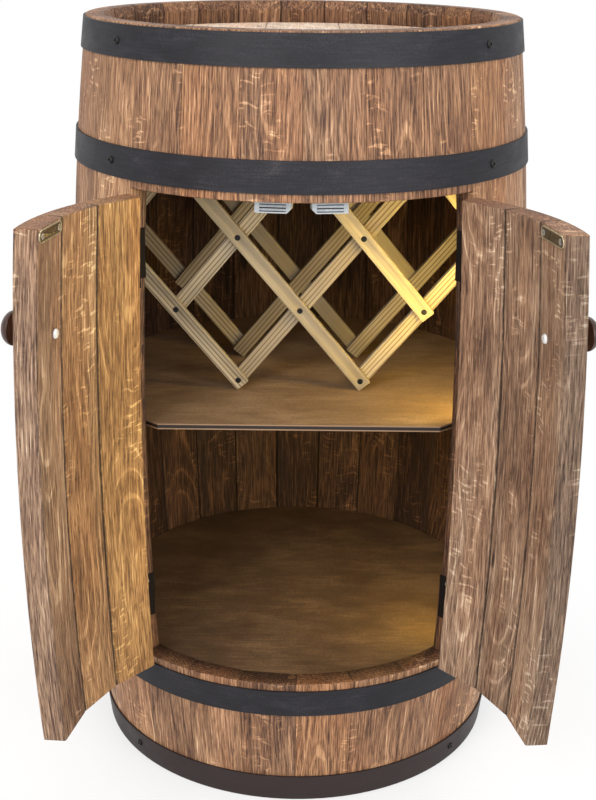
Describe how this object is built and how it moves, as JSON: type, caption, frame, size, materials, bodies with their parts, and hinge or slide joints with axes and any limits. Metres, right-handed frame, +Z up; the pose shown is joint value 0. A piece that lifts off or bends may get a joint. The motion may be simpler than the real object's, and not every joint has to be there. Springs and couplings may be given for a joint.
{
  "type": "barrel bar cabinet",
  "caption": "Upright stave barrel with steel hoops, two curved doors hinged at the seams, a shelf and a lattice bottle rack inside.",
  "frame": {"origin": "on the floor, at the barrel's axis", "axes": "+Z up, along the barrel's axis; -Y is the front, where the doors are; +X is the right-hand side seen from the front"},
  "size_m": [0.5308, 0.5925, 0.8],
  "materials": {
    "stave_oak": "stained oak, satin, each stave a different shade",
    "door_oak": "stained oak, satin",
    "head_oak": "pale brown oak boards, satin",
    "floor_wood": "dark brown, satin",
    "shelf_wood": "dark brown thin board, satin",
    "block_wood": "dark brown, satin",
    "rack_pine": "pale planed softwood, plain",
    "knob_wood": "turned, dark brown, semi-gloss",
    "hoop_paint": "matte dark grey paint",
    "hinge_steel": "dull grey steel",
    "dark_screws": "blackened steel",
    "bright_screws": "dull steel",
    "strike_steel": "plain bright steel",
    "magnet_steel": "grey steel",
    "catch_plastic": "light grey moulded",
    "light_tape": "translucent warm white"
  },
  "bodies": {
    "carcass": {"stave_01": "stave_oak", "stave_02": "stave_oak", "stave_03": "stave_oak", "stave_04": "stave_oak", "stave_05": "stave_oak", "stave_06": "stave_oak", "stave_07": "stave_oak", "stave_08": "stave_oak", "stave_09": "stave_oak", "stave_10": "stave_oak", "stave_11": "stave_oak", "stave_12": "stave_oak", "stave_13": "stave_oak", "stave_14": "stave_oak", "stave_15": "stave_oak", "stave_16": "stave_oak", "stave_17": "stave_oak", "stave_18": "stave_oak", "stave_19": "stave_oak", "header_staves": "stave_oak", "sill_staves": "stave_oak", "top_hoop": "hoop_paint", "upper_hoop": "hoop_paint", "lower_hoop": "hoop_paint", "bottom_hoop": "hoop_paint", "top_head": "head_oak", "bottom_head": "head_oak", "floor_board": "floor_wood", "shelf": "shelf_wood", "support_blocks": "block_wood", "jamb_hinge_leaves": "hinge_steel", "hinge_pins": "hinge_steel", "frame_flat_screws": "dark_screws", "hoop_screws": "bright_screws", "rack_screws": "dark_screws", "rack_front_falling_slats": "rack_pine", "rack_front_rising_slats": "rack_pine", "rack_rear_falling_slats": "rack_pine", "rack_rear_rising_slats": "rack_pine", "catch_housings": "catch_plastic", "catch_magnets": "magnet_steel", "light_strip": "light_tape"},
    "right_door": {"right_door_stave_1": "door_oak", "right_door_stave_2": "door_oak", "right_door_stave_3": "door_oak", "right_door_hinge_leaves": "hinge_steel", "right_door_flat_screws": "dark_screws", "right_knob": "knob_wood", "right_knob_screw": "bright_screws", "right_strike_plate": "strike_steel"},
    "left_door": {"left_door_stave_1": "door_oak", "left_door_stave_2": "door_oak", "left_door_stave_3": "door_oak", "left_door_hinge_leaves": "hinge_steel", "left_door_flat_screws": "dark_screws", "left_knob": "knob_wood", "left_knob_screw": "bright_screws", "left_strike_plate": "strike_steel"}
  },
  "joints": [
    {"name": "right_door_hinge", "type": "hinge", "parent": "carcass", "child": "right_door", "pos_m": [0.16927, -0.18098, 0.4], "axis": [0, 0, 1], "range_deg": [-95, 75]},
    {"name": "left_door_hinge", "type": "hinge", "parent": "carcass", "child": "left_door", "pos_m": [-0.16927, -0.18098, 0.4], "axis": [0, 0, -1], "range_deg": [-95, 75]}
  ]
}
